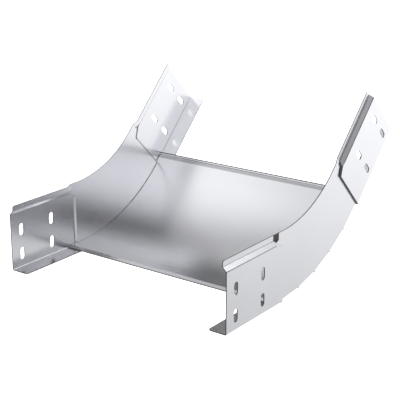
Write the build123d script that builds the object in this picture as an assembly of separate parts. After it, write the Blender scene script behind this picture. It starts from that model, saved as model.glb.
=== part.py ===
from build123d import *
import os
from math import cos, radians, sin, sqrt, tan

# A 45 degree rising bend of a sheet steel cable tray: two side walls and a curved bottom plate.
# It stands on the middle tabs of its walls, with both open ends raised alike.
# X runs along the tray, Y across it and Z up. The origin is on the floor, under the middle.

# Sheet
sheet = 1.2                  # thickness of the galvanised sheet
fold_radius = 0.5            # inside radius of a fold

# Bend
tray_width = 300.0           # over the outside of the two walls, between the couplers
side_height = 80.0           # of a wall, from the underside of its tabs to its top edge
bend_angle = 45.0            # that the tray turns through
top_radius = 150.0           # of the walls' free top edge, which is inside the turn

# Tabs under the bottom plate
tab_count = 5                # straight tabs that follow the turn
tab_depth = 22.0             # that a tab reaches in from the outside of its wall
tab_gap = 3.0                # between two tabs
tongue_rise = 0.9            # that the flat metal between two tabs stands out past their corner

# Couplers at both ends, set out so that the next tray slides in between them
coupler_length = 107.0       # from the open end to the joggle
joggle_offset = 2.4          # that a coupler stands out sideways from the wall
joggle_drop = 1.5            # that its flange lies below the tabs
joggle_run = 1.0             # length of wall that the joggle takes
joggle_lead = 0.3            # that the joggle's inner side lies nearer to the open end
joggle_turn = 30.0           # slope of the joggle's upper part, which leads to the lip
joggle_reach = 13.0          # distance at which that part runs out
coupler_height = 80.0        # from the underside of the flange to the top of the lip
flange_depth = 23.4          # that the flange reaches in from the outside of the coupler
flange_relief = 2.5          # between the joggle and the flange
flange_chamfer = 2.5         # at the flange's free front corner
lip_rise = 11.0              # from the lip's fold, where it turns inwards at 45 degrees, to its top
lip_step = 4.8               # that the lip stands in from the coupler's face
lip_length = 92.4            # from the open end
lip_corner = 2.5             # rounding of the lip's front corner
lip_blend = 7.5              # length over which the top of the wall leans in to meet the lip

# Slots for the coupler bolts
slot_width = 7.0
slot_length = 15.0
slot_end_distance = 16.5     # from the open end to the first column of slots
slot_column_pitch = 50.0
slot_low_height = 16.7       # from the underside of the flange to the lower row
slot_row_pitch = 29.7

# Bottom plate
plate_side_gap = 0.5         # between the plate's side edge and the wall
plate_ear_gap = 0.6          # between the wider ends of the plate and the couplers
plate_ear_start = 2.5        # distance past the turn at which the plate gets wider
plate_seat_gap = 0.05        # between the plate's curve and the middle of a tab
plate_overhang = 16.3        # that the plate's end reaches past the turn
plate_end_land = 3.0         # flat end of the plate that lies on the coupler's flange
plate_step_run = 2.0         # length of the slope down to that end
plate_fold_radius = 1.0      # inside radius of the plate's folds

# Derived sizes
half_angle = bend_angle / 2
tab_angle = bend_angle / tab_count
bottom_radius = top_radius + side_height
flange_radius = bottom_radius + joggle_drop
corner_radius = bottom_radius / cos(radians(tab_angle / 2))
tongue_radius = corner_radius + tongue_rise
lowest_tongue_angle = tab_angle / 2 if tab_count % 2 else 0.0
centre_height = tongue_radius * cos(radians(lowest_tongue_angle))
outer_fold = fold_radius + sheet
fold_shift = sheet / 2 * tan(radians(45 / 2))
coupler_width = tray_width + 2 * joggle_offset
end_distance = coupler_length + joggle_run
lip_start = end_distance - lip_length
lip_fold_height = coupler_height - lip_rise
blend_start = lip_start - lip_blend
crossing_height = lip_fold_height + joggle_offset   # at which the lip crosses the plane of the wall
lip_top_fold = lip_fold_height + lip_step           # at which the lip turns up again
wall_height = flange_radius - top_radius            # of the wall's top edge over the coupler's flange
beyond = side_height         # more than any cutting shape has to reach past the wall


def polar(radius, angle):
    """Point of the XZ plane at a radius from the turn's centre, with its angle from straight down."""
    return radius * sin(radians(angle)), centre_height - radius * cos(radians(angle))


def run_plane():
    """Plane of the straight run past the turn: its x is the distance out, its y the height over the flange."""
    x, z = polar(flange_radius, half_angle)
    turn = radians(half_angle)
    return Plane(origin=(x, 0, z), x_dir=(cos(turn), 0, sin(turn)), z_dir=(0, -1, 0))


def section_plane(radius, angle):
    """Plane across the tray: its x is the distance in from the coupler's face, its y the height over a radius."""
    x, z = polar(radius, angle)
    turn = radians(angle)
    return Plane(origin=(x, 0, z), x_dir=(0, 1, 0), z_dir=(cos(turn), 0, sin(turn)))


def in_run(points):
    """Points of the XZ plane from distances and heights along the straight run."""
    found = [run_plane().from_local_coords(Vector(distance, height, 0)) for distance, height in points]
    return [(point.X, point.Z) for point in found]


def both_ends(shape):
    """A shape of the +X end together with its mirror image at the other end."""
    return shape + mirror(shape, about=Plane.YZ)


def slab(face, start, thickness):
    """Solid between two depths over a face drawn in the XZ plane."""
    return Pos(0, start, 0) * extrude(Plane.XZ * face, amount=-thickness)


def polygon(points):
    """Face inside a closed line through the points."""
    return make_face(Polyline(*points, close=True))


def rectangle(left, right, low, high):
    """Face between two distances and two heights of the straight run."""
    return polygon(in_run([(left, low), (right, low), (right, high), (left, high)]))


def joggle_corners(shift, height):
    """Two corners of a joggle line that lies a shift towards the open end, where it starts to slant and where it ends."""
    slope = tan(radians(joggle_turn))
    start = crossing_height - joggle_reach * slope - shift / cos(radians(joggle_turn))
    return [(shift, start + shift * slope), ((height - start) / slope, height)]


def joggle_line(outwards, lead):
    """Line where the joggle begins (outwards 1) or ends (0), from below the wall to the far side of the lip."""
    height = lip_fold_height if outwards else crossing_height
    low, high = joggle_corners(joggle_run * outwards + lead, height)
    return in_run([(low[0], -beyond), low, high, (high[0] + beyond, height)])


def wall_step(depth, lead):
    """Block with sloped ends that sets the wall's middle in from the couplers, from a given depth on."""
    faces = []
    for outwards in (1, 0):
        right = joggle_line(outwards, lead)
        left = [(-x, z) for x, z in right]
        faces.append(Pos(0, depth + joggle_offset * (1 - outwards), 0) * (Plane.XZ * polygon(left + right[::-1])))
    return loft(faces, ruled=True)


def facet(corners, depth):
    """Sheet behind a flat outline, whose corners are a distance, a height and an inset from the coupler's face."""
    plane = run_plane()
    outline = Polyline(*[plane.from_local_coords(Vector(*corner[:2], -corner[2])) for corner in corners], close=True)
    return extrude(Face(Wire(outline.edges())), amount=depth, dir=(0, 1, 0))


def lip_root():
    """Metal between the full height of the wall and the lip, which leans in as the couplers step out."""
    ramp_end = joggle_corners(joggle_run, lip_fold_height)[1][0]
    start = (ramp_end, lip_fold_height, 0)
    crossing = (joggle_reach, crossing_height, joggle_offset)
    lip_low = (lip_start, lip_fold_height, 0)
    lip_middle = (lip_start, lip_top_fold, lip_step)
    lip_high = (lip_start, coupler_height, lip_step)
    wall_middle = (blend_start, lip_top_fold, joggle_offset)
    wall_high = (blend_start, wall_height, joggle_offset)
    root = facet([start, lip_low, lip_middle, crossing], sheet * sqrt(2))
    root += facet([crossing, lip_middle, wall_middle], sheet)
    return root + facet([wall_middle, lip_middle, lip_high, wall_high], sheet)


def wall_outline():
    """Flat part of the wall: the turn, the tongues between the tabs and the start of both couplers."""
    fold_corner = (bottom_radius - outer_fold) / cos(radians(tab_angle / 2))
    edge = [polar(fold_corner, -half_angle + tab_angle * index) for index in range(tab_count + 1)]
    start, middle, end = (polar(top_radius, angle) for angle in (half_angle, 0, -half_angle))
    outline = make_face(Polyline(*edge, start) + ThreePointArc(start, middle, end) + Line(end, edge[0]))
    ramp_end = joggle_corners(joggle_run, lip_fold_height)[1]
    crossing = (joggle_reach, crossing_height)
    outline += both_ends(
        rectangle(0, blend_start, outer_fold, wall_height)
        + rectangle(0, lip_start, outer_fold, lip_fold_height)
        + polygon(in_run([(0, lip_fold_height), ramp_end, crossing, (blend_start, lip_top_fold), (0, lip_top_fold)]))
        + rectangle(0, joggle_run + flange_relief, 0, outer_fold)
    )
    for index in range(1, tab_count):
        outline += tongue(-half_angle + tab_angle * index)
    return outline


def tongue(angle):
    """Round ended strip of flat metal that is left between two tabs."""
    length = 2 * outer_fold
    strip = Pos(*polar(tongue_radius - (tab_gap + length) / 2, angle)) * Rot(0, 0, angle) * Rectangle(tab_gap, length)
    return strip + Pos(*polar(tongue_radius - tab_gap / 2, angle)) * Circle(tab_gap / 2)


def tab(index):
    """One tab with the fold that joins it to the wall."""
    angle = -half_angle + tab_angle * (index + 0.5)
    width = 2 * bottom_radius * tan(radians(tab_angle / 2)) - tab_gap
    middle = joggle_offset + sheet / 2
    line = FilletPolyline(
        (joggle_offset + tab_depth, sheet / 2),
        (middle, sheet / 2),
        (middle, 2 * outer_fold),
        radius=fold_radius + sheet / 2,
    )
    return extrude(section_plane(bottom_radius, angle) * trace(line, line_width=sheet), amount=width / 2, both=True)


def coupler_section():
    """Section of a coupler: flange, face, and the lip that is folded inwards and up again."""
    lip_middle = lip_step + sheet / 2
    line = FilletPolyline(
        (flange_depth, sheet / 2),
        (sheet / 2, sheet / 2),
        (sheet / 2, lip_fold_height - fold_shift),
        (lip_middle, lip_fold_height + lip_step - fold_shift),
        (lip_middle, coupler_height),
        radius=fold_radius + sheet / 2,
    )
    return trace(line, line_width=sheet)


def coupler():
    """The coupler of the +X end, with its flange, its lip and its slots."""
    part = extrude(section_plane(flange_radius, half_angle) * coupler_section(), amount=end_distance)
    part -= slab(rectangle(-beyond, joggle_run + flange_relief, -beyond, 2 * beyond), -beyond, 2 * beyond)
    part -= slab(rectangle(-beyond, lip_start, lip_fold_height, 2 * beyond), -beyond, 2 * beyond)
    part -= lip_corner_cut() + flange_corner_cut()
    for column in range(2):
        for row in range(2):
            part -= slot(column, row)
    return part


def slot(column, row):
    """Cutter for one upright slot of a coupler."""
    distance = end_distance - slot_end_distance - slot_column_pitch * column
    height = slot_low_height + slot_row_pitch * row
    shape = Pos(distance, height) * Rot(0, 0, 90) * SlotOverall(slot_length, slot_width)
    return extrude(run_plane() * shape, amount=beyond, both=True)


def lip_corner_cut():
    """Cutter that rounds the lip's top corner at the open end."""
    middle = Pos(end_distance - lip_corner, coupler_height - lip_corner)
    corner = middle * Rectangle(lip_corner, lip_corner, align=Align.MIN) - middle * Circle(lip_corner)
    return extrude(run_plane() * corner, amount=beyond, both=True)


def flange_corner_cut():
    """Cutter that bevels the flange's free corner at the open end."""
    floor = Plane(origin=run_plane().origin, x_dir=run_plane().x_dir, z_dir=run_plane().y_dir)
    corner = Pos(end_distance, flange_depth) * Rot(0, 0, 45) * Rectangle(sqrt(2) * flange_chamfer, 2 * flange_chamfer)
    return extrude(floor * corner, amount=outer_fold, both=True)


def side_wall():
    """Wall of the -Y side, with the outer faces of its couplers at Y = 0."""
    outline = wall_outline()
    wall = slab(outline, 0, sheet) + (slab(outline, sheet, joggle_offset) & wall_step(sheet, joggle_lead))
    wall += both_ends(coupler())
    wall -= wall_step(0, 0)
    wall += both_ends(lip_root())
    for index in range(tab_count):
        wall += tab(index)
    return wall


def bottom_plate():
    """Curved plate that lies on the tabs, with stepped ends that lie on the couplers' flanges."""
    width = tray_width - 2 * (sheet + plate_side_gap)
    outer = bottom_radius - sheet - plate_seat_gap
    centre = (0, centre_height)
    wedge = polygon([polar(2 * outer, -half_angle), centre, polar(2 * outer, half_angle)])
    curve = (Pos(*centre) * (Circle(outer) - Circle(outer - sheet))) & wedge
    level = flange_radius - outer + sheet / 2
    seat = sheet * 3 / 2
    land = plate_overhang - plate_end_land
    points = in_run([(0, level), (land - plate_step_run, level), (land, seat), (plate_overhang, seat)])
    end = trace(FilletPolyline(*points, radius=plate_fold_radius + sheet / 2), line_width=sheet)
    ear = end - rectangle(-beyond, plate_ear_start, -beyond, beyond)
    ear_width = coupler_width - 2 * (sheet + plate_ear_gap)
    ends = slab(end, -width / 2, width) + slab(ear, -ear_width / 2, ear_width)
    return slab(curve, -width / 2, width) + both_ends(ends)


def keep(shape, name):
    """Write one piece as a STEP file."""
    shape.label = name
    export_step(shape, f"parts/{name}.step")


os.makedirs("parts", exist_ok=True)

side_wall_right = Pos(0, -coupler_width / 2, 0) * side_wall()
side_wall_left = mirror(side_wall_right, about=Plane.XZ)

keep(side_wall_right, "side_wall_right")
keep(side_wall_left, "side_wall_left")
keep(bottom_plate(), "bottom_plate")
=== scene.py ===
"""Finish of a 45 degree rising bend of a galvanised sheet steel cable tray, in a plain studio.

The three sheets of the bend come as a fixed frame. The side walls are dressed from their own frame nodes,
with their sheared edges eased. The bottom plate is drawn again by a node tree that follows the turn. The
tray runs along X. Its end at +X is called the rising end, and the other one the front end.
"""

from math import cos, radians, sin

import bmesh
import bpy
from bpy.props import FloatProperty, FloatVectorProperty, IntProperty, PointerProperty
from mathutils import Matrix, Vector
from mathutils.bvhtree import BVHTree


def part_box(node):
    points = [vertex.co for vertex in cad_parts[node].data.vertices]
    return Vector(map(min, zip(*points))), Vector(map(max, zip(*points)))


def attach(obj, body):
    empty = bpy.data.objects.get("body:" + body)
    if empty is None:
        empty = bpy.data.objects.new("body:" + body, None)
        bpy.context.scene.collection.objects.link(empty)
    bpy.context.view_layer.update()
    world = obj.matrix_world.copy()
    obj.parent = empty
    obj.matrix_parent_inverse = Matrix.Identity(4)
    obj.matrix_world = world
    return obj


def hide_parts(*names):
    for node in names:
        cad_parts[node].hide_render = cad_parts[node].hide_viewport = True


bl_info = {
    "name": "Cable Tray Bend",
    "version": (1, 0, 0),
    "blender": (4, 5, 0),
    "location": "View3D > Sidebar > Tray Bend",
    "description": "Dresses a galvanised cable tray bend and sets up its studio",
    "category": "Object",
}

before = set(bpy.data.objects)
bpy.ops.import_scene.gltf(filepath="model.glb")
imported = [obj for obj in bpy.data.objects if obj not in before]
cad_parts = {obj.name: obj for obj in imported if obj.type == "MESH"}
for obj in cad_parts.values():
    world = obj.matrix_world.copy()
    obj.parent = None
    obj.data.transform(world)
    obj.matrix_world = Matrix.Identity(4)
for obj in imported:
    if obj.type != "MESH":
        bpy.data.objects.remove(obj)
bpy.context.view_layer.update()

MM = 0.001
BODY = "root"
FACE, EDGE, PAINTED_SHADE, FOLD = range(4)    # places of the finishes among the materials of a sheet

MERGE_DISTANCE = 0.001 * MM      # between the loose corners of a frame node's triangles
SURFACE_CLEARANCE = 0.01 * MM    # that a test ray starts inside a face
SHEET_ALLOWANCE = 1.25           # share of the thickness within which an opposite face still backs a face
FLAT_ANGLE = radians(0.2)        # up to which faces of a frame node are one flat face
CREASE_ANGLE = radians(20)       # from which an edge stays a crease in the shading
SHARP_ANGLE = radians(35)        # from which an edge is eased
EDGE_SEGMENTS = 3                # faces across an eased edge
LARGE_FACE_WEIGHT = 100          # weight at which a piece's large faces lead its shading in full
STATION_CROWDING = 2.0           # how much closer the plate's stations lie at its ends

# How far a face's normal points across the tray, from 0 to 1
JOGGLE_FACING = 0.9              # less than this on the joggle's slope
SIDE_FACING = 0.15               # more than this on the plate's long sides
FOLD_FACING = (0.7, 0.93)        # between these in the middle of a fold

FOLD_WIDTH = 1.2 * MM            # up to which a face of the lip belongs to a fold
TIGHT_FOLD_WIDTH = 0.1 * MM      # up to which it belongs to the hollow side of a fold
CLOUD_DETAIL = 2.0               # number of finer layers in the clouds of the zinc's tone
GRAIN_DETAIL = 3.0               # number of finer layers in the lines left by the rolling
GRAIN_RANGE = (0.3, 0.7)         # values of a noise texture that span its finish from dark to bright

# Lines of painted shade beside the folds of the rising end, with sizes in millimetres. Each has its start
# and its end, as the distance past the turn and the height over the coupler's underside, its half width,
# and how far out it reaches across the tray. The last value is the share of its brightness that the zinc
# loses there.
WALL_SHADES = (
    ("joggle", (-0.4, 4), (-0.4, 63.5), 1.9, 149, 0.45),
    ("joggle_lean", (-0.3, 63.8), (11.7, 71.5), 2.4, 149, 0.9),
    ("flange_root", (16, 1.9), (100, 1.9), 0.8, 151.8, 0.22),
    ("lip_fold", (15, 73.4), (100, 73.4), 0.8, 149, 0.3),
)
PLATE_SHADES = (
    ("end", (16.4, -5), (16.4, 10), 2.4, 200, 0.95),
    ("step", (9.2, -5), (9.2, 10), 3.2, 200, 0.45),
)
SHADE_CORE = 0.3                 # share of a dulled line's half width that is dulled in full

FLOOR_RADIUS = 12.0              # in metres, as every size without a unit
FLOOR_SEGMENTS = 64              # sides of the round floor
FLOOR_DROP = 0.02 * MM           # that the floor lies under the tray
FLOOR_ROUGHNESS = 0.9
CAMERA_CLIP_START = 0.05         # distance from the eye at which the picture starts

# Soft lights round the tray, each with its heading from +X, its height over the floor and its half width,
# all in degrees, and its brightness
SOFT_LIGHTS = {
    "far_window": (79, 36, 41, 1.47),
    "right_strip": (-21, 23, 14, 3.2),
    "right_low": (-32, 5, 20, 1.06),
    "right_window": (12, 30, 23, 3.2),
    "between_windows": (38, 28, 16, 0.2),
    "overhead": (-56, 60, 34, 1.54),
    "left_fill": (132, 40, 55, 0.3),
    "camera_fill": (-154, 39, 63, 0.9),
}
LIGHT_CORE = 0.3                 # share of a soft light's width that shines in full
FLOOR_GLOW_REACH = 0.4           # distance along X, each way, over which the floor's glow grows

PLATE_LOW, PLATE_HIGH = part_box("bottom_plate")


class TrayBendSheetSizes(bpy.types.PropertyGroup):
    """Sizes that all three sheets share."""

    thickness: FloatProperty(
        name="Sheet Thickness",
        description="Thickness of the galvanised sheet",
        default=1.2 * MM,
        min=0.5 * MM,
        subtype="DISTANCE",
        unit="LENGTH",
    )
    edge_rounding: FloatProperty(
        name="Edge Rounding",
        description="Radius that a sheared edge of the sheet is eased to",
        default=0.4 * MM,
        min=0.02 * MM,
        subtype="DISTANCE",
        unit="LENGTH",
    )


class TrayBendPlateSizes(bpy.types.PropertyGroup):
    """Sizes of the curved bottom plate."""

    bend_angle: FloatProperty(
        name="Bend Angle",
        description="Angle that the tray turns through",
        default=radians(45),
        subtype="ANGLE",
        unit="ROTATION",
    )
    middle_radius: FloatProperty(
        name="Middle Radius",
        description="Radius of the turn, to the middle of the sheet",
        default=228.15 * MM,
        subtype="DISTANCE",
        unit="LENGTH",
    )
    centre_height: FloatProperty(
        name="Centre Height",
        description="Height of the turn's centre over the floor",
        default=230.897 * MM,
        subtype="DISTANCE",
        unit="LENGTH",
    )
    width: FloatProperty(
        name="Plate Width",
        description="Width of the plate between the curved walls",
        default=296.6 * MM,
        subtype="DISTANCE",
        unit="LENGTH",
    )
    end_width: FloatProperty(
        name="End Width",
        description="Width of the plate between the couplers, at each end",
        default=PLATE_HIGH.y - PLATE_LOW.y,
        subtype="DISTANCE",
        unit="LENGTH",
    )
    end_start: FloatProperty(
        name="End Start",
        description="Distance past the turn at which the wider end starts",
        default=2.5 * MM,
        subtype="DISTANCE",
        unit="LENGTH",
    )
    overhang: FloatProperty(
        name="Overhang",
        description="Length of plate past the turn, at each end",
        default=16.3 * MM,
        subtype="DISTANCE",
        unit="LENGTH",
    )
    step_start: FloatProperty(
        name="Step Start",
        description="Distance past the turn at which the plate starts to step down",
        default=11.2 * MM,
        subtype="DISTANCE",
        unit="LENGTH",
    )
    front_step_run: FloatProperty(
        name="Front Step Run",
        description="Length that the step down takes at the front end",
        default=4.8 * MM,
        subtype="DISTANCE",
        unit="LENGTH",
    )
    rising_step_run: FloatProperty(
        name="Rising Step Run",
        description="Length that the step down takes at the rising end",
        default=2.0 * MM,
        subtype="DISTANCE",
        unit="LENGTH",
    )
    step_drop: FloatProperty(
        name="Step Drop",
        description="Height of the step down",
        default=1.55 * MM,
        subtype="DISTANCE",
        unit="LENGTH",
    )
    stations: IntProperty(
        name="Stations",
        description="Number of sections along the plate",
        default=321,
        min=33,
    )


class TrayBendCouplerSizes(bpy.types.PropertyGroup):
    """Sizes of the couplers at the walls' ends."""

    underside_radius: FloatProperty(
        name="Underside Radius",
        description="Distance from the turn's centre to the couplers' underside",
        default=231.5 * MM,
        subtype="DISTANCE",
        unit="LENGTH",
    )
    joggle_run: FloatProperty(
        name="Joggle Run",
        description="Length past the turn that holds the joggle's slope",
        default=1.1 * MM,
        subtype="DISTANCE",
        unit="LENGTH",
    )
    root_start: FloatProperty(
        name="Lip Root Start",
        description="Distance past the turn at which the lips' roots start",
        default=10.0 * MM,
        subtype="DISTANCE",
        unit="LENGTH",
    )
    root_height: FloatProperty(
        name="Lip Root Height",
        description="Height up to which a lip's root is folded, over the coupler's underside",
        default=74.0 * MM,
        subtype="DISTANCE",
        unit="LENGTH",
    )
    lip_start: FloatProperty(
        name="Lip Start",
        description="Distance past the turn at which the couplers' lips start",
        default=15.0 * MM,
        subtype="DISTANCE",
        unit="LENGTH",
    )
    lip_height: FloatProperty(
        name="Lip Height",
        description="Height from which a coupler belongs to its lip, over the coupler's underside",
        default=67.0 * MM,
        subtype="DISTANCE",
        unit="LENGTH",
    )


class TrayBendFinish(bpy.types.PropertyGroup):
    """Colours and gloss of the zinc coating, with the colours of the painted shade on the edges, the folds
    and the joggle.
    """

    zinc_colour: FloatVectorProperty(
        name="Zinc Colour",
        description="Colour of the zinc on the faces of the sheet",
        default=(0.74, 0.745, 0.775),
        size=3,
        min=0.0,
        max=1.0,
        subtype="COLOR",
    )
    # Partly bare steel's own colour, partly painted shade: darkened so that the sheared edges draw dark
    # lines
    edge_and_shade_colour: FloatVectorProperty(
        name="Sheared Edge And Shade Colour",
        description="Colour of the steel on the sheared edges",
        default=(0.1, 0.101, 0.105),
        size=3,
        min=0.0,
        max=1.0,
        subtype="COLOR",
    )
    # Painted shade: a near-black colour that stands in for the shade on the joggle's outer slope, the lip's
    # root and the folds' hollow sides
    painted_shade_colour: FloatVectorProperty(
        name="Painted Shade Colour",
        description="Colour of the zinc on the joggle's outer slope and at the lip's root",
        default=(0.08, 0.08, 0.085),
        size=3,
        min=0.0,
        max=1.0,
        subtype="COLOR",
    )
    # Painted shade: a dark colour that stands in for the shade in the lip's folds
    fold_shade_colour: FloatVectorProperty(
        name="Fold Shade Colour",
        description="Colour of the zinc in the lip's folds",
        default=(0.22, 0.222, 0.23),
        size=3,
        min=0.0,
        max=1.0,
        subtype="COLOR",
    )
    zinc_roughness: FloatProperty(
        name="Zinc Roughness",
        description="Roughness of the zinc on the faces of the sheet",
        default=0.24,
        min=0.0,
        max=1.0,
        subtype="FACTOR",
    )
    edge_roughness: FloatProperty(
        name="Sheared Edge Roughness",
        description="Roughness of the sheared edges",
        default=0.42,
        min=0.0,
        max=1.0,
        subtype="FACTOR",
    )
    # Roughness of the faces with painted shade: the joggle's outer slope, the lip's root and the lip's
    # folds
    painted_shade_roughness: FloatProperty(
        name="Painted Shade Roughness",
        description="Roughness of the zinc where it is pressed or folded",
        default=0.4,
        min=0.0,
        max=1.0,
        subtype="FACTOR",
    )
    bloom_size: FloatProperty(
        name="Bloom Size",
        description="Size of the soft clouds in the zinc's tone",
        default=42 * MM,
        subtype="DISTANCE",
        unit="LENGTH",
    )
    tone_play: FloatProperty(
        name="Tone Play",
        description="Share of its brightness by which a finish grows darker or brighter over the clouds",
        default=0.03,
        min=0.0,
        max=1.0,
        subtype="FACTOR",
    )
    grain_length: FloatProperty(
        name="Grain Length",
        description="Length of the lines left by the rolling",
        default=30 * MM,
        subtype="DISTANCE",
        unit="LENGTH",
    )
    grain_width: FloatProperty(
        name="Grain Width",
        description="Width of the lines left by the rolling",
        default=0.4 * MM,
        subtype="DISTANCE",
        unit="LENGTH",
    )
    grain_play: FloatProperty(
        name="Grain Play",
        description="Share of its brightness that a finish loses in a line",
        default=0.02,
        min=0.0,
        max=1.0,
        subtype="FACTOR",
    )
    gloss_play: FloatProperty(
        name="Gloss Play",
        description="Amount by which the roughness changes over the lines",
        default=0.025,
        min=0.0,
        max=1.0,
        subtype="FACTOR",
    )
    grain_relief: FloatProperty(
        name="Grain Relief",
        description="Depth of the lines left by the rolling",
        default=0.001 * MM,
        subtype="DISTANCE",
        unit="LENGTH",
    )
    shear_length: FloatProperty(
        name="Tool Mark Length",
        description="Length of the marks of the shear and the press tool",
        default=0.8 * MM,
        subtype="DISTANCE",
        unit="LENGTH",
    )
    shear_relief: FloatProperty(
        name="Tool Mark Relief",
        description="Depth of the marks of the shear and the press tool",
        default=0.004 * MM,
        subtype="DISTANCE",
        unit="LENGTH",
    )


class TrayBendStudio(bpy.types.PropertyGroup):
    """Camera and light of the studio."""

    camera_place: FloatVectorProperty(
        name="Camera Place",
        description="Place of the camera's eye",
        default=(-770.95 * MM, -724.59 * MM, 808.64 * MM),
        size=3,
        subtype="TRANSLATION",
        unit="LENGTH",
    )
    camera_heading: FloatProperty(
        name="Camera Heading",
        description="Direction that the camera looks in, turned from +X",
        default=0.76097,
        subtype="ANGLE",
        unit="ROTATION",
    )
    camera_dip: FloatProperty(
        name="Camera Dip",
        description="Angle that the camera looks down by",
        default=0.61678,
        subtype="ANGLE",
        unit="ROTATION",
    )
    tray_tilt: FloatProperty(
        name="Tray Tilt",
        description="Angle between the picture's upright and the floor's, about the width of the tray",
        default=radians(22.5),
        subtype="ANGLE",
        unit="ROTATION",
    )
    lens: FloatProperty(
        name="Lens",
        description="Focal length on a 36 mm sensor, in millimetres",
        default=97.79,
        min=10.0,
    )
    dim: FloatProperty(
        name="Dim Surround",
        description="Brightness of the studio between its lights",
        default=0.025,
        min=0.0,
    )
    floor_colour: FloatVectorProperty(
        name="Floor Colour",
        description="Colour of the studio floor",
        default=(0.3, 0.3, 0.3),
        size=3,
        min=0.0,
        max=1.0,
        subtype="COLOR",
    )
    floor_glow_left: FloatProperty(
        name="Floor Glow Left",
        description="Glow of the light table at the tray's front end",
        default=0.38,
        min=0.0,
    )
    floor_glow_right: FloatProperty(
        name="Floor Glow Right",
        description="Glow of the light table at the tray's rising end",
        default=1.09,
        min=0.0,
    )
    table_start: FloatProperty(
        name="Table Fade Start",
        description="Distance towards -Y from the tray's middle at which the table's glow starts to fade",
        default=320 * MM,
        subtype="DISTANCE",
        unit="LENGTH",
    )
    table_end: FloatProperty(
        name="Table Fade End",
        description="Distance towards -Y from the tray's middle at which the table's glow has faded",
        default=400 * MM,
        subtype="DISTANCE",
        unit="LENGTH",
    )
    backdrop: FloatProperty(
        name="Backdrop",
        description="Brightness that the floor and the backdrop gain for the picture itself",
        default=1.0,
        min=0.0,
    )


def settings(name):
    """One of the add-on's groups of settings, which the scene holds."""
    return getattr(bpy.context.scene, name)


class NodeTree:
    """Short way to add and join the nodes of one tree."""

    def __init__(self, tree):
        self.tree = tree

    def socket(self, name, kind, output=False):
        """A new input or output of the whole tree."""
        side = "OUTPUT" if output else "INPUT"
        self.tree.interface.new_socket(name=name, in_out=side, socket_type=kind)

    def put(self, target, value):
        """Joins a socket to an input, or sets the input's own value."""
        if isinstance(value, bpy.types.NodeSocket):
            self.tree.links.new(value, target)
        else:
            target.default_value = value

    def add(self, kind, *values, **named):
        """A new node, with its first inputs in order, and its other inputs and its settings by name."""
        node = self.tree.nodes.new(kind)
        for name, value in named.items():
            if hasattr(node, name):
                setattr(node, name, value)
        for target, value in zip([s for s in node.inputs if s.enabled], values):
            self.put(target, value)
        for name, value in named.items():
            if not hasattr(node, name):
                label = name.replace("_", " ")
                self.put(next(s for s in node.inputs if s.enabled and s.name == label), value)
        return node

    def math(self, operation, *values):
        """Result of a Math node with one to three values."""
        return self.add("ShaderNodeMath", *values, operation=operation).outputs[0]

    def vector(self, operation, *values):
        """Result of a Vector Math node with one or two vectors."""
        node = self.add("ShaderNodeVectorMath", *values, operation=operation)
        return next(s for s in node.outputs if s.enabled)

    def blend(self, share, first, second, blend_type="MIX"):
        """Colour between two colours, or their product."""
        node = self.add("ShaderNodeMix", share, first, second, data_type="RGBA", blend_type=blend_type)
        return next(s for s in node.outputs if s.enabled)

    def mapped(self, value, low, high, to_low, to_high, interpolation="LINEAR"):
        """A value taken from one range to another."""
        ends = (low, high, to_low, to_high)
        return self.add("ShaderNodeMapRange", value, *ends, interpolation_type=interpolation).outputs[0]


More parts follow.
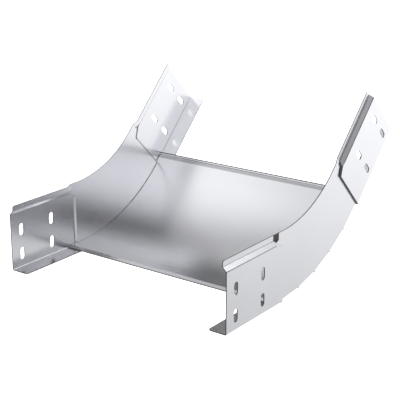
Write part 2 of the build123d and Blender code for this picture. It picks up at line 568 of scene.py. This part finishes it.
def plate_tree():
    """Node tree that draws a bent plate: a sheet's section swept along a turn whose ends step down."""
    tree = bpy.data.node_groups.new("bent_plate", "GeometryNodeTree")
    nodes = NodeTree(tree)
    for name in ("Bend Angle", "Middle Radius", "Centre Height", "Width", "Thickness", "Edge Rounding"):
        nodes.socket(name, "NodeSocketFloat")
    for name in ("End Width", "End Start", "Overhang"):
        nodes.socket(name, "NodeSocketFloat")
    for name in ("Step Start", "Front Step Run", "Rising Step Run", "Step Drop"):
        nodes.socket(name, "NodeSocketFloat")
    nodes.socket("Stations", "NodeSocketInt")
    nodes.socket("Finish", "NodeSocketMaterial")
    nodes.socket("Geometry", "NodeSocketGeometry", output=True)
    given = nodes.add("NodeGroupInput").outputs

    # Way along the plate from its middle, with closer stations towards the ends
    last = nodes.math("SUBTRACT", given["Stations"], 1)
    share = nodes.math("DIVIDE", nodes.add("GeometryNodeInputIndex").outputs[0], last)
    side = nodes.math("MULTIPLY_ADD", share, 2.0, -1.0)
    left = nodes.math("SUBTRACT", 1.0, nodes.math("ABSOLUTE", side))
    spread = nodes.math("SUBTRACT", 1.0, nodes.math("POWER", left, STATION_CROWDING))
    half_angle = nodes.math("MULTIPLY", given["Bend Angle"], 0.5)
    half_arc = nodes.math("MULTIPLY", half_angle, given["Middle Radius"])
    half_length = nodes.math("ADD", half_arc, given["Overhang"])
    way = nodes.math("MULTIPLY", nodes.math("MULTIPLY", spread, half_length), nodes.math("SIGN", side))

    # Turn, straight run and step down at each station
    free_turn = nodes.math("DIVIDE", way, given["Middle Radius"])
    front_angle = nodes.math("MULTIPLY", half_angle, -1.0)
    turn = nodes.math("MAXIMUM", nodes.math("MINIMUM", free_turn, half_angle), front_angle)
    run = nodes.math("SUBTRACT", way, nodes.math("MULTIPLY", turn, given["Middle Radius"]))
    run_length = nodes.math("ABSOLUTE", run)
    rising = nodes.math("GREATER_THAN", side, 0.0)
    gain = nodes.math("SUBTRACT", given["Rising Step Run"], given["Front Step Run"])
    step_run = nodes.math("MULTIPLY_ADD", rising, gain, given["Front Step Run"])
    step_end = nodes.math("ADD", given["Step Start"], step_run)
    drop = nodes.mapped(run_length, given["Step Start"], step_end, 0.0, given["Step Drop"])
    reach = nodes.math("ADD", given["Middle Radius"], drop)
    sine, cosine = nodes.math("SINE", turn), nodes.math("COSINE", turn)
    along = nodes.math("ADD", nodes.math("MULTIPLY", reach, sine), nodes.math("MULTIPLY", run, cosine))
    fall = nodes.math("SUBTRACT", nodes.math("MULTIPLY", reach, cosine), nodes.math("MULTIPLY", run, sine))
    height = nodes.math("SUBTRACT", given["Centre Height"], fall)
    place = nodes.add("ShaderNodeCombineXYZ", along, 0.0, height).outputs[0]

    # Section of the sheet with eased edges, swept along the way
    line = nodes.add("GeometryNodeMeshLine", Count=given["Stations"]).outputs[0]
    placed = nodes.add("GeometryNodeSetPosition", Geometry=line, Position=place).outputs[0]
    ear = nodes.math("MULTIPLY", nodes.math("SUBTRACT", given["End Width"], given["Width"]), 0.5)
    wide = nodes.math("MULTIPLY", nodes.math("GREATER_THAN", run_length, given["End Start"]), ear)
    marked = nodes.add("GeometryNodeStoreNamedAttribute", placed, Name="extra_width", Value=wide)
    path = nodes.add("GeometryNodeMeshToCurve", marked.outputs[0]).outputs[0]
    section = nodes.add("GeometryNodeCurvePrimitiveQuadrilateral", given["Width"], given["Thickness"])
    eased = nodes.add(
        "GeometryNodeFilletCurve",
        section.outputs[0],
        mode="POLY",
        Count=EDGE_SEGMENTS,
        Radius=given["Edge Rounding"],
    )
    swept = nodes.add("GeometryNodeCurveToMesh", Curve=path, Profile_Curve=eased.outputs[0], Fill_Caps=True)

    # Wider ends, which reach the couplers
    extra = nodes.add("GeometryNodeInputNamedAttribute", Name="extra_width").outputs[0]
    point = nodes.add("GeometryNodeInputPosition").outputs[0]
    across = nodes.add("ShaderNodeSeparateXYZ", point).outputs["Y"]
    outwards = nodes.math("MULTIPLY", nodes.math("SIGN", across), extra)
    shift = nodes.add("ShaderNodeCombineXYZ", 0.0, outwards, 0.0).outputs[0]
    widened = nodes.add("GeometryNodeSetPosition", Geometry=swept.outputs[0], Offset=shift).outputs[0]
    plain = nodes.add("GeometryNodeRemoveAttribute", widened, Name="extra_width").outputs[0]
    real = nodes.add("GeometryNodeRealizeInstances", plain).outputs[0]
    finished = nodes.add("GeometryNodeSetMaterial", Geometry=real, Material=given["Finish"]).outputs[0]
    nodes.add("NodeGroupOutput", finished)
    return tree


def set_inputs(modifier, values):
    """Gives a node tree's modifier its named inputs."""
    items = modifier.node_group.interface.items_tree
    identifiers = {item.name: item.identifier for item in items if item.in_out == "INPUT"}
    for name, value in values.items():
        modifier[identifiers[name]] = value


def baked(name, tree, values):
    """Object whose plain mesh is the result of a node tree."""
    maker = bpy.data.objects.new(name, bpy.data.meshes.new(name))
    bpy.context.scene.collection.objects.link(maker)
    modifier = maker.modifiers.new("drawing", "NODES")
    modifier.node_group = tree
    set_inputs(modifier, values)
    bpy.context.view_layer.update()
    result = maker.evaluated_get(bpy.context.evaluated_depsgraph_get())
    mesh = bpy.data.meshes.new_from_object(result)
    maker.modifiers.remove(modifier)
    maker.data = mesh
    mesh.name = name
    mesh.materials.clear()
    return maker


def mark_sheared_edges(bm):
    """Gives the edges' finish to the faces that no opposite face of the sheet lies behind."""
    depth = settings("tray_bend_sheet").thickness * SHEET_ALLOWANCE
    bm.normal_update()
    tree = BVHTree.FromBMesh(bm)
    for face in bm.faces:
        start = face.calc_center_median() - face.normal * SURFACE_CLEARANCE
        hit = tree.ray_cast(start, -face.normal, depth)
        face.material_index = FACE if hit[0] is not None else EDGE


def run_place(point):
    """Distance of a point past the turn, and its height over the underside of the nearer coupler."""
    plate, coupler = settings("tray_bend_plate"), settings("tray_bend_coupler")
    lean = plate.bend_angle / 2
    reach, rise = abs(point.x), point.z - plate.centre_height
    height = rise * cos(lean) - reach * sin(lean) + coupler.underside_radius
    return reach * cos(lean) + rise * sin(lean), height


def mark_painted_shade_faces(bm):
    """Gives painted shade to the joggle's outer slope, the lip's root and the lip's folds."""
    coupler = settings("tray_bend_coupler")
    for face in bm.faces:
        if face.material_index != FACE:
            continue
        centre = face.calc_center_median()
        run, height = run_place(centre)
        across = abs(face.normal.y)
        rising, outer = centre.x > 0.0, face.normal.y * centre.y > 0.0

        # Outer slope of the joggle, which at the rising end goes on up to the lip's root, painted dark as
        # shade
        slope = outer and across < JOGGLE_FACING
        if slope and (0.0 < run < coupler.joggle_run or rising and run < coupler.root_start):
            face.material_index = PAINTED_SHADE

        # Root of the lip, painted dark as shade
        root = coupler.root_start < run < coupler.lip_start
        if root and (height < coupler.root_height or outer and not rising):
            face.material_index = PAINTED_SHADE

        # Narrow faces in the lip's folds: a line of painted shade, darkest on the hollow side
        width = face.calc_area() / max(edge.calc_length() for edge in face.edges)
        if run > coupler.lip_start and height > coupler.lip_height and width < FOLD_WIDTH:
            face.material_index = FOLD if FOLD_FACING[0] < across < FOLD_FACING[1] else FACE
            if width < TIGHT_FOLD_WIDTH:
                face.material_index = PAINTED_SHADE


def mark_plate_faces(mesh):
    """Gives the drawn plate's two ends the edges' finish, and its long sides that of its faces."""
    bm = bmesh.new()
    bm.from_mesh(mesh)
    bmesh.ops.recalc_face_normals(bm, faces=bm.faces)
    mark_sheared_edges(bm)
    for face in bm.faces:
        if abs(face.normal.y) > SIDE_FACING:
            face.material_index = FACE
    mark_creases(bm)
    bm.to_mesh(mesh)
    bm.free()


def mark_creases(bm):
    """Keeps the shading of flat faces apart."""
    for edge in bm.edges:
        edge.smooth = len(edge.link_faces) != 2 or edge.calc_face_angle() < CREASE_ANGLE


def ease_edges(piece, rounding):
    """Rounds the sharp edges of a sheet."""
    bevel = piece.modifiers.new("eased_edges", "BEVEL")
    bevel.width = rounding
    bevel.segments = EDGE_SEGMENTS
    bevel.limit_method = "ANGLE"
    bevel.angle_limit = SHARP_ANGLE
    bevel.miter_outer = "MITER_ARC"
    bevel.harden_normals = False


def lead_shading(piece):
    """Lets the large faces of a piece lead its shading."""
    for polygon in piece.data.polygons:
        polygon.use_smooth = True
    weights = piece.modifiers.new("face_weights", "WEIGHTED_NORMAL")
    weights.weight = LARGE_FACE_WEIGHT
    weights.keep_sharp = True


def sheet_from_node(name, node):
    """Copy of a frame node as one closed sheet with eased edges."""
    mesh = bpy.data.meshes.new(name)
    bm = bmesh.new()
    bm.from_mesh(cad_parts[node].data)
    bmesh.ops.remove_doubles(bm, verts=bm.verts, dist=MERGE_DISTANCE)
    mark_sheared_edges(bm)
    bmesh.ops.dissolve_limit(
        bm,
        angle_limit=FLAT_ANGLE,
        verts=bm.verts,
        edges=bm.edges,
        use_dissolve_boundaries=False,
        delimit={"MATERIAL"},
    )
    mark_painted_shade_faces(bm)
    mark_creases(bm)
    bm.to_mesh(mesh)
    bm.free()
    piece = bpy.data.objects.new(name, mesh)
    bpy.context.scene.collection.objects.link(piece)
    ease_edges(piece, settings("tray_bend_sheet").edge_rounding)
    lead_shading(piece)
    return piece


def finish_piece(piece, node, face_material):
    """Gives a sheet its finishes, in the order of their places, hangs it under the tray's body and hides
    its frame node.
    """
    for material in (face_material, edge_and_shade_material, painted_shade_material, fold_shade_material):
        piece.data.materials.append(material())
    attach(piece, BODY)
    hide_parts(node)


def bloom_group():
    """Shader node group for the soft clouds in the zinc's tone."""
    found = bpy.data.node_groups.get("zinc_bloom")
    if found:
        return found
    tree = bpy.data.node_groups.new("zinc_bloom", "ShaderNodeTree")
    nodes = NodeTree(tree)
    nodes.socket("Place", "NodeSocketVector")
    nodes.socket("Patch Size", "NodeSocketFloat")
    nodes.socket("Tone", "NodeSocketFloat", output=True)
    given = nodes.add("NodeGroupInput").outputs
    density = nodes.math("DIVIDE", 1.0, given["Patch Size"])
    cloud = nodes.add("ShaderNodeTexNoise", given["Place"], Scale=density, Detail=CLOUD_DETAIL)
    nodes.add("NodeGroupOutput", cloud.outputs["Fac"])
    return tree


def grain_group():
    """Shader node group for the fine lines that run along a rolled sheet."""
    found = bpy.data.node_groups.get("rolling_grain")
    if found:
        return found
    tree = bpy.data.node_groups.new("rolling_grain", "ShaderNodeTree")
    nodes = NodeTree(tree)
    nodes.socket("Place", "NodeSocketVector")
    nodes.socket("Line Length", "NodeSocketFloat")
    nodes.socket("Line Width", "NodeSocketFloat")
    nodes.socket("Grain", "NodeSocketFloat", output=True)
    given = nodes.add("NodeGroupInput").outputs
    along = nodes.math("DIVIDE", 1.0, given["Line Length"])
    across = nodes.math("DIVIDE", 1.0, given["Line Width"])
    density = nodes.add("ShaderNodeCombineXYZ", along, across, across)
    drawn = nodes.vector("MULTIPLY", given["Place"], density.outputs[0])
    lines = nodes.add("ShaderNodeTexNoise", drawn, Scale=1.0, Detail=GRAIN_DETAIL)
    nodes.add("NodeGroupOutput", lines.outputs["Fac"])
    return tree


def fold_shade_group():
    """Shader node group for a soft line of painted shade beside a fold of the rising end, placed in the
    tray's side view.
    """
    found = bpy.data.node_groups.get("fold_shade")
    if found:
        return found
    plate, coupler = settings("tray_bend_plate"), settings("tray_bend_coupler")
    tree = bpy.data.node_groups.new("fold_shade", "ShaderNodeTree")
    nodes = NodeTree(tree)
    for name in ("Place", "Start", "End"):
        nodes.socket(name, "NodeSocketVector")
    nodes.socket("Half Width", "NodeSocketFloat")
    nodes.socket("Reach", "NodeSocketFloat")
    nodes.socket("Shade", "NodeSocketFloat", output=True)
    given = nodes.add("NodeGroupInput").outputs

    # Distance past the turn and height over the coupler's underside
    lean = plate.bend_angle / 2
    along, across, level = nodes.add("ShaderNodeSeparateXYZ", given["Place"]).outputs
    rise = nodes.math("SUBTRACT", level, plate.centre_height)
    run = nodes.math("MULTIPLY_ADD", rise, sin(lean), nodes.math("MULTIPLY", along, cos(lean)))
    fall = nodes.math("MULTIPLY", along, sin(lean))
    upright = nodes.math("MULTIPLY_ADD", rise, cos(lean), coupler.underside_radius)
    height = nodes.math("SUBTRACT", upright, fall)
    point = nodes.add("ShaderNodeCombineXYZ", run, height, 0.0).outputs[0]

    # Distance from the line
    way = nodes.vector("SUBTRACT", given["End"], given["Start"])
    gap = nodes.vector("SUBTRACT", point, given["Start"])
    covered, whole = nodes.vector("DOT_PRODUCT", gap, way), nodes.vector("DOT_PRODUCT", way, way)
    reached = nodes.mapped(nodes.math("DIVIDE", covered, whole), 0.0, 1.0, 0.0, 1.0)
    foot = nodes.add("ShaderNodeVectorMath", way, operation="SCALE", Scale=reached).outputs[0]
    away = nodes.vector("LENGTH", nodes.vector("SUBTRACT", gap, foot))
    core = nodes.math("MULTIPLY", given["Half Width"], SHADE_CORE)
    line = nodes.mapped(away, core, given["Half Width"], 1.0, 0.0, "SMOOTHSTEP")

    # Only on the rising end, and inside a distance from the tray's middle
    rising = nodes.math("GREATER_THAN", along, 0.0)
    inside = nodes.math("LESS_THAN", nodes.math("ABSOLUTE", across), given["Reach"])
    nodes.add("NodeGroupOutput", nodes.math("MULTIPLY", line, nodes.math("MULTIPLY", rising, inside)))
    return tree


def sheet_material(name, colour, roughness, line_length, relief, shades=()):
    """Finish of one kind of face of the sheet, with its own tone, gloss and grain, and any lines of painted
    shade.
    """
    found = bpy.data.materials.get(name)
    if found:
        return found
    finish = settings("tray_bend_finish")
    material = bpy.data.materials.new(name)
    material.use_nodes = True
    nodes = NodeTree(material.node_tree)
    place = nodes.add("ShaderNodeTexCoord").outputs["Object"]
    bloom = nodes.add(
        "ShaderNodeGroup",
        node_tree=bloom_group(),
        Place=place,
        Patch_Size=finish.bloom_size,
    )
    grain = nodes.add(
        "ShaderNodeGroup",
        node_tree=grain_group(),
        Place=place,
        Line_Length=line_length,
        Line_Width=finish.grain_width,
    )
    tone, lines = bloom.outputs["Tone"], grain.outputs["Grain"]
    dark, bright = scaled(colour, 1.0 - finish.tone_play), scaled(colour, 1.0 + finish.tone_play)
    cloudy = nodes.blend(tone, dark, bright)
    grain_and_shade = nodes.mapped(lines, *GRAIN_RANGE, 1.0 - finish.grain_play, 1.0)
    for label, start, end, half_width, reach, loss in shades:
        shade = nodes.add(
            "ShaderNodeGroup",
            node_tree=fold_shade_group(),
            label=label,
            Place=place,
            Start=run_vector(*start),
            End=run_vector(*end),
            Half_Width=MM * half_width,
            Reach=MM * reach,
        )
        # Each line darkens the colour as painted shade
        kept = nodes.mapped(shade.outputs["Shade"], 0.0, 1.0, 1.0, 1.0 - loss)
        grain_and_shade = nodes.math("MULTIPLY", grain_and_shade, kept)
    shader = material.node_tree.nodes["Principled BSDF"]
    shader.inputs["Metallic"].default_value = 1.0
    nodes.put(shader.inputs["Base Color"], nodes.blend(1.0, cloudy, grain_and_shade, "MULTIPLY"))
    gloss = nodes.mapped(lines, *GRAIN_RANGE, roughness - finish.gloss_play, roughness + finish.gloss_play)
    nodes.put(shader.inputs["Roughness"], gloss)
    bump = nodes.add("ShaderNodeBump", Strength=1.0, Distance=relief, Height=lines)
    nodes.put(shader.inputs["Normal"], bump.outputs["Normal"])
    return material


def scaled(colour, share):
    """A colour made darker or brighter, with its opacity."""
    return (*(part * share for part in colour), 1.0)


def run_vector(run, height):
    """A distance past the turn and a height in millimetres, as a vector in metres."""
    return (MM * run, MM * height, 0.0)


def wall_material():
    """Finish of the side walls' faces: bright rolled zinc, with lines of painted shade beside the folds."""
    finish = settings("tray_bend_finish")
    look = (finish.zinc_colour, finish.zinc_roughness, finish.grain_length, finish.grain_relief)
    return sheet_material("galvanised_wall", *look, WALL_SHADES)


def plate_material():
    """Finish of the bottom plate's faces: bright rolled zinc, with lines of painted shade at its rising
    end.
    """
    finish = settings("tray_bend_finish")
    look = (finish.zinc_colour, finish.zinc_roughness, finish.grain_length, finish.grain_relief)
    return sheet_material("galvanised_plate", *look, PLATE_SHADES)


def edge_and_shade_material():
    """Finish of the sheared edges: bare steel with short marks of the shear, darkened further with painted
    shade so the edges draw dark lines.
    """
    finish = settings("tray_bend_finish")
    look = (finish.edge_and_shade_colour, finish.edge_roughness, finish.shear_length, finish.shear_relief)
    return sheet_material("sheared_steel_and_shade", *look)


def painted_shade_material():
    """Painted shade on the joggle's outer slope, the lip's root and the folds' hollow sides: near-black
    zinc in place of their shade.
    """
    finish = settings("tray_bend_finish")
    look = (finish.painted_shade_colour, finish.painted_shade_roughness, finish.shear_length, finish.shear_relief)
    return sheet_material("dark_painted_shade", *look)


def fold_shade_material():
    """Painted shade in the lip's folds: a thin dark line that stands in for the folds' shade."""
    finish = settings("tray_bend_finish")
    look = (finish.fold_shade_colour, finish.painted_shade_roughness, finish.grain_length, finish.grain_relief)
    return sheet_material("painted_fold_shade", *look)


class TRAYBEND_OT_side_walls(bpy.types.Operator):
    """Dress both side walls of the tray"""

    bl_idname = "tray_bend.side_walls"
    bl_label = "Side Walls"

    def execute(self, context):
        for side in ("right", "left"):
            node = f"side_wall_{side}"
            piece = sheet_from_node(f"folded_wall_{side}", node)
            finish_piece(piece, node, wall_material)
        return {"FINISHED"}


class TRAYBEND_OT_bottom_plate(bpy.types.Operator):
    """Draw the curved bottom plate of the tray"""

    bl_idname = "tray_bend.bottom_plate"
    bl_label = "Bottom Plate"

    def execute(self, context):
        sheet, plate = settings("tray_bend_sheet"), settings("tray_bend_plate")
        values = {
            "Bend Angle": plate.bend_angle,
            "Middle Radius": plate.middle_radius,
            "Centre Height": plate.centre_height,
            "Width": plate.width,
            "End Width": plate.end_width,
            "End Start": plate.end_start,
            "Thickness": sheet.thickness,
            "Edge Rounding": sheet.edge_rounding,
            "Overhang": plate.overhang,
            "Step Start": plate.step_start,
            "Front Step Run": plate.front_step_run,
            "Rising Step Run": plate.rising_step_run,
            "Step Drop": plate.step_drop,
            "Stations": plate.stations,
            "Finish": plate_material(),
        }
        piece = baked("curved_plate", plate_tree(), values)
        mark_plate_faces(piece.data)
        lead_shading(piece)
        finish_piece(piece, "bottom_plate", plate_material)
        return {"FINISHED"}


class TRAYBEND_OT_studio(bpy.types.Operator):
    """Set up the floor, the light and the camera"""

    bl_idname = "tray_bend.studio"
    bl_label = "Studio"

    def execute(self, context):
        studio = settings("tray_bend_studio")
        make_floor(studio)
        make_dome(studio)
        make_camera(studio)
        context.scene.view_settings.view_transform = "Standard"
        return {"FINISHED"}


def make_floor(studio):
    """Plain pale floor under the tray."""
    mesh = bpy.data.meshes.new("studio_floor")
    bm = bmesh.new()
    bmesh.ops.create_circle(bm, cap_ends=True, segments=FLOOR_SEGMENTS, radius=FLOOR_RADIUS)
    bmesh.ops.translate(bm, verts=bm.verts, vec=(0.0, 0.0, -FLOOR_DROP))
    bm.to_mesh(mesh)
    bm.free()
    floor = bpy.data.objects.new("studio_floor", mesh)
    bpy.context.scene.collection.objects.link(floor)
    mesh.materials.append(floor_material(studio))


def floor_material(studio):
    """Light table: a pale floor that glows a little more towards the tray's rising end."""
    material = bpy.data.materials.new("studio_floor")
    material.use_nodes = True
    nodes = NodeTree(material.node_tree)
    place = nodes.add("ShaderNodeTexCoord").outputs["Object"]
    along, across, _ = nodes.add("ShaderNodeSeparateXYZ", place).outputs
    left, right = studio.floor_glow_left, studio.floor_glow_right
    table = nodes.mapped(along, -FLOOR_GLOW_REACH, FLOOR_GLOW_REACH, left, right, "SMOOTHSTEP")
    inside = nodes.mapped(across, -studio.table_end, -studio.table_start, 0.0, 1.0, "SMOOTHSTEP")
    glow = nodes.math("MULTIPLY", table, inside)
    seen = nodes.add("ShaderNodeLightPath").outputs["Is Camera Ray"]
    shader = material.node_tree.nodes["Principled BSDF"]
    shader.inputs["Base Color"].default_value = (*studio.floor_colour, 1.0)
    shader.inputs["Roughness"].default_value = FLOOR_ROUGHNESS
    shader.inputs["Specular IOR Level"].default_value = 0.0
    shader.inputs["Emission Strength"].default_value = 1.0
    nodes.put(shader.inputs["Emission Color"], nodes.math("MULTIPLY_ADD", seen, studio.backdrop, glow))
    return material


def soft_light_group():
    """Shader node group for one soft light of the dome: how bright it is in a direction."""
    tree = bpy.data.node_groups.new("soft_light", "ShaderNodeTree")
    nodes = NodeTree(tree)
    nodes.socket("Direction", "NodeSocketVector")
    nodes.socket("Centre", "NodeSocketVector")
    nodes.socket("Half Width", "NodeSocketFloat")
    nodes.socket("Brightness", "NodeSocketFloat")
    nodes.socket("Glow", "NodeSocketFloat", output=True)
    given = nodes.add("NodeGroupInput").outputs
    away = nodes.math("ARCCOSINE", nodes.vector("DOT_PRODUCT", given["Direction"], given["Centre"]))
    core = nodes.math("MULTIPLY", given["Half Width"], LIGHT_CORE)
    glow = nodes.mapped(away, core, given["Half Width"], given["Brightness"], 0.0, "SMOOTHSTEP")
    nodes.add("NodeGroupOutput", glow)
    return tree


def make_dome(studio):
    """Dim surround with soft lights round the tray."""
    world = bpy.data.worlds.new("studio_dome")
    world.use_nodes = True
    nodes = NodeTree(world.node_tree)
    direction = nodes.add("ShaderNodeTexCoord").outputs["Generated"]
    light = studio.dim
    tree = soft_light_group()
    for name, (heading, rise, half_width, brightness) in SOFT_LIGHTS.items():
        heading, rise = radians(heading), radians(rise)
        centre = (cos(rise) * cos(heading), cos(rise) * sin(heading), sin(rise))
        lamp = nodes.add(
            "ShaderNodeGroup",
            node_tree=tree,
            label=name,
            Direction=direction,
            Centre=centre,
            Half_Width=radians(half_width),
            Brightness=brightness,
        )
        light = nodes.math("ADD", light, lamp.outputs["Glow"])
    seen = nodes.add("ShaderNodeLightPath").outputs["Is Camera Ray"]
    light = nodes.math("MULTIPLY_ADD", seen, studio.backdrop, light)
    background = world.node_tree.nodes["Background"]
    background.inputs["Strength"].default_value = 1.0
    nodes.put(background.inputs["Color"], light)
    bpy.context.scene.world = world


def make_camera(studio):
    """Camera at the photograph's view. The picture's upright leans with the tray."""
    heading, dip, tilt = studio.camera_heading, studio.camera_dip, studio.tray_tilt
    ahead = Vector((cos(dip) * cos(heading), cos(dip) * sin(heading), -sin(dip)))
    upright = Vector((sin(tilt), 0.0, cos(tilt)))
    right = ahead.cross(upright).normalized()
    up = right.cross(ahead)
    turn = Matrix((right, up, -ahead)).transposed().to_4x4()
    data = bpy.data.cameras.new("studio_camera")
    data.lens = studio.lens
    data.clip_start = CAMERA_CLIP_START
    camera = bpy.data.objects.new("studio_camera", data)
    camera.matrix_world = Matrix.Translation(studio.camera_place) @ turn
    bpy.context.scene.collection.objects.link(camera)
    bpy.context.scene.camera = camera


class TRAYBEND_PT_sidebar(bpy.types.Panel):
    """Lists the pieces and settings of the tray bend"""

    bl_idname = "TRAYBEND_PT_sidebar"
    bl_label = "Tray Bend"
    bl_space_type = "VIEW_3D"
    bl_region_type = "UI"
    bl_category = "Tray Bend"

    def draw(self, context):
        layout = self.layout
        for group, operators in PANEL_ROWS.items():
            box = layout.box()
            values = settings(group)
            for name in values.bl_rna.properties.keys():
                if name not in ("rna_type", "name"):
                    box.prop(values, name)
            for operator in operators:
                box.operator(operator)


GROUPS = {
    "tray_bend_sheet": TrayBendSheetSizes,
    "tray_bend_plate": TrayBendPlateSizes,
    "tray_bend_coupler": TrayBendCouplerSizes,
    "tray_bend_finish": TrayBendFinish,
    "tray_bend_studio": TrayBendStudio,
}
PANEL_ROWS = {
    "tray_bend_sheet": [],
    "tray_bend_plate": ["tray_bend.bottom_plate"],
    "tray_bend_coupler": ["tray_bend.side_walls"],
    "tray_bend_finish": [],
    "tray_bend_studio": ["tray_bend.studio"],
}
CLASSES = (
    *GROUPS.values(),
    TRAYBEND_OT_side_walls,
    TRAYBEND_OT_bottom_plate,
    TRAYBEND_OT_studio,
    TRAYBEND_PT_sidebar,
)


def register():
    """Registers the classes, and gives the scene its settings."""
    for made in CLASSES:
        bpy.utils.register_class(made)
    for name, group in GROUPS.items():
        setattr(bpy.types.Scene, name, PointerProperty(type=group))


def unregister():
    """Takes the settings and the classes back."""
    for name in GROUPS:
        delattr(bpy.types.Scene, name)
    for made in reversed(CLASSES):
        bpy.utils.unregister_class(made)


def main():
    """Registers the add-on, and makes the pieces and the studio."""
    register()
    bpy.ops.tray_bend.side_walls()
    bpy.ops.tray_bend.bottom_plate()
    bpy.ops.tray_bend.studio()


if __name__ == "__main__":
    main()
